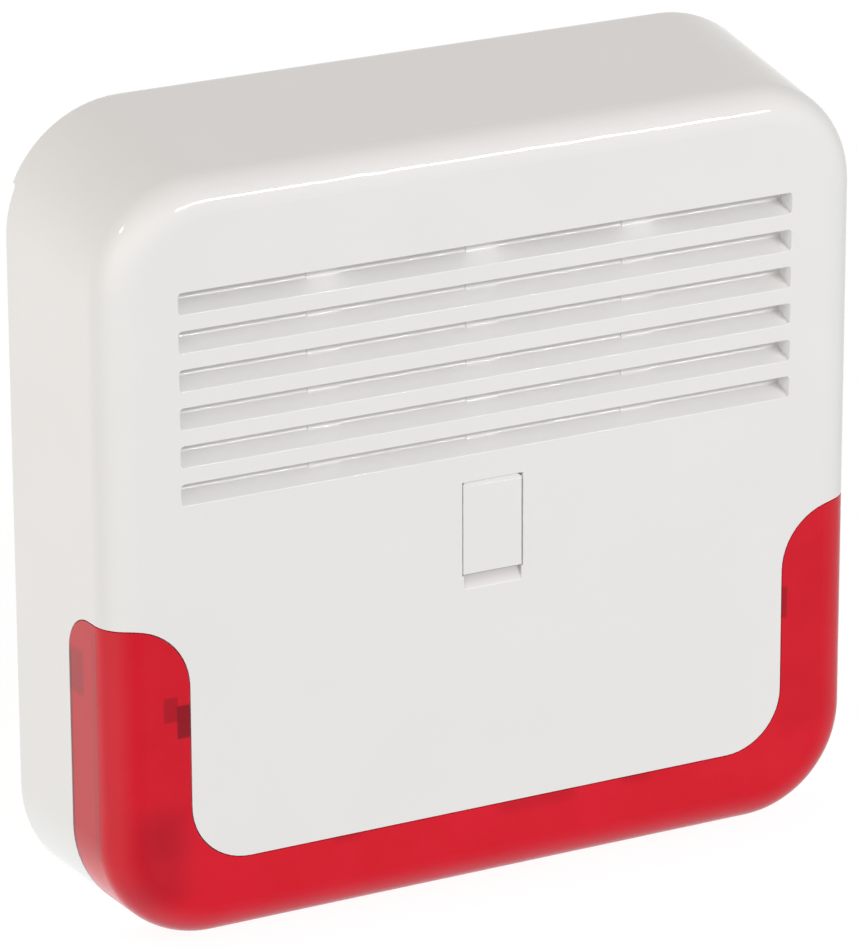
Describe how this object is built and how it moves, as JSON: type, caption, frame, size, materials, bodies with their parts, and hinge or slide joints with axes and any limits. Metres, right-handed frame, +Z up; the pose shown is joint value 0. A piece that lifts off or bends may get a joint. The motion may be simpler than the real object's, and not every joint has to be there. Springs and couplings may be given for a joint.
{
  "type": "alarm siren",
  "caption": "Outdoor wall siren with a louvred white cover hinged at the top, a U-shaped red strobe lens, a screw flap and a sounder, board and battery inside.",
  "frame": {"origin": "centre of the base's wall face", "axes": "+X to the right seen from the front, +Y into the wall, +Z up"},
  "size_m": [0.27, 0.0675, 0.26],
  "materials": {
    "white_shell": "smooth moulded, semi-gloss",
    "white_inner": "moulded, satin",
    "red_lens": "translucent, frosted inside",
    "steel": "zinc plated",
    "rubber": "matt",
    "brass": "plain",
    "ceramic": "matt",
    "black_plastic": "moulded, fine grain",
    "zinc_sheet": "galvanised sheet",
    "board_green": "solder mask",
    "terminal_blue": "moulded",
    "relay_plastic": "moulded",
    "can_sleeve": "shrink sleeve",
    "ferrite": "sintered",
    "chip_plastic": "moulded",
    "battery_case": "moulded",
    "led_epoxy": "clear",
    "tear_plastic": "moulded",
    "clear_plastic": "clear acrylic",
    "level_fluid": "tinted liquid",
    "wire_red": "insulation",
    "wire_black": "insulation"
  },
  "bodies": {
    "base": {"back_plate": "white_inner", "cable_grommet": "rubber", "thread_insert": "brass", "sounder_housing": "black_plastic", "sounder_horn": "black_plastic", "phase_plug": "black_plastic", "piezo_disc": "brass", "piezo_ceramic": "ceramic", "sounder_screws": "steel", "sounder_guard": "zinc_sheet", "guard_screws": "steel", "main_board": "board_green", "board_screws": "steel", "terminal_block": "terminal_blue", "terminal_screws": "steel", "relay": "relay_plastic", "capacitors": "can_sleeve", "coil_core": "ferrite", "coil_bobbin": "black_plastic", "chips": "chip_plastic", "plug_headers": "white_inner", "battery": "battery_case", "battery_tabs": "steel", "battery_strap": "zinc_sheet", "strap_screws": "steel", "strobe_reflector": "white_inner", "strobe_board": "board_green", "strobe_leds": "white_inner", "led_domes": "led_epoxy", "strobe_screws": "steel", "tamper_sleeve": "white_inner", "tamper_spring": "steel", "tear_housing": "black_plastic", "tear_spring": "steel", "level_vial": "clear_plastic", "level_liquid": "level_fluid", "battery_lead_red": "wire_red", "battery_lead_black": "wire_black", "sounder_leads": "wire_black", "strobe_leads": "wire_red"},
    "cover": {"front_cover": "white_shell", "strobe_lens": "red_lens", "louvre_baffle": "white_inner", "baffle_screws": "steel"},
    "flap": {"screw_flap": "white_shell"},
    "screw": {"cover_screw": "steel", "screw_ring": "rubber"},
    "tamper_button": {"tamper_plunger": "black_plastic"},
    "tear_button": {"tear_plunger": "tear_plastic"}
  },
  "joints": [
    {"name": "cover_hinge", "type": "hinge", "parent": "base", "child": "cover", "pos_m": [0, -0.008, 0.1245], "axis": [-1, 0, 0], "range_deg": [0, 75]},
    {"name": "flap_hinge", "type": "hinge", "parent": "cover", "child": "flap", "pos_m": [0, -0.0662, 0.0073], "axis": [-1, 0, 0], "range_deg": [0, 95]},
    {"name": "screw_travel", "type": "slide", "parent": "cover", "child": "screw", "axis": [0, 1, 0], "range_m": [0, 0.0055]},
    {"name": "tamper_travel", "type": "slide", "parent": "base", "child": "tamper_button", "axis": [0, -1, 0], "range_m": [0, 0.0025], "stiffness_N_per_m": 40, "springref_m": 0.004, "deforming": ["tamper_spring"]},
    {"name": "tear_travel", "type": "slide", "parent": "base", "child": "tear_button", "axis": [0, 1, 0], "range_m": [0, 0.003], "deforming": ["tear_spring"]}
  ],
  "couplings": [
    {"joint": "tamper_travel", "follows": "cover_hinge", "m_per_rad": 0.0019}
  ]
}
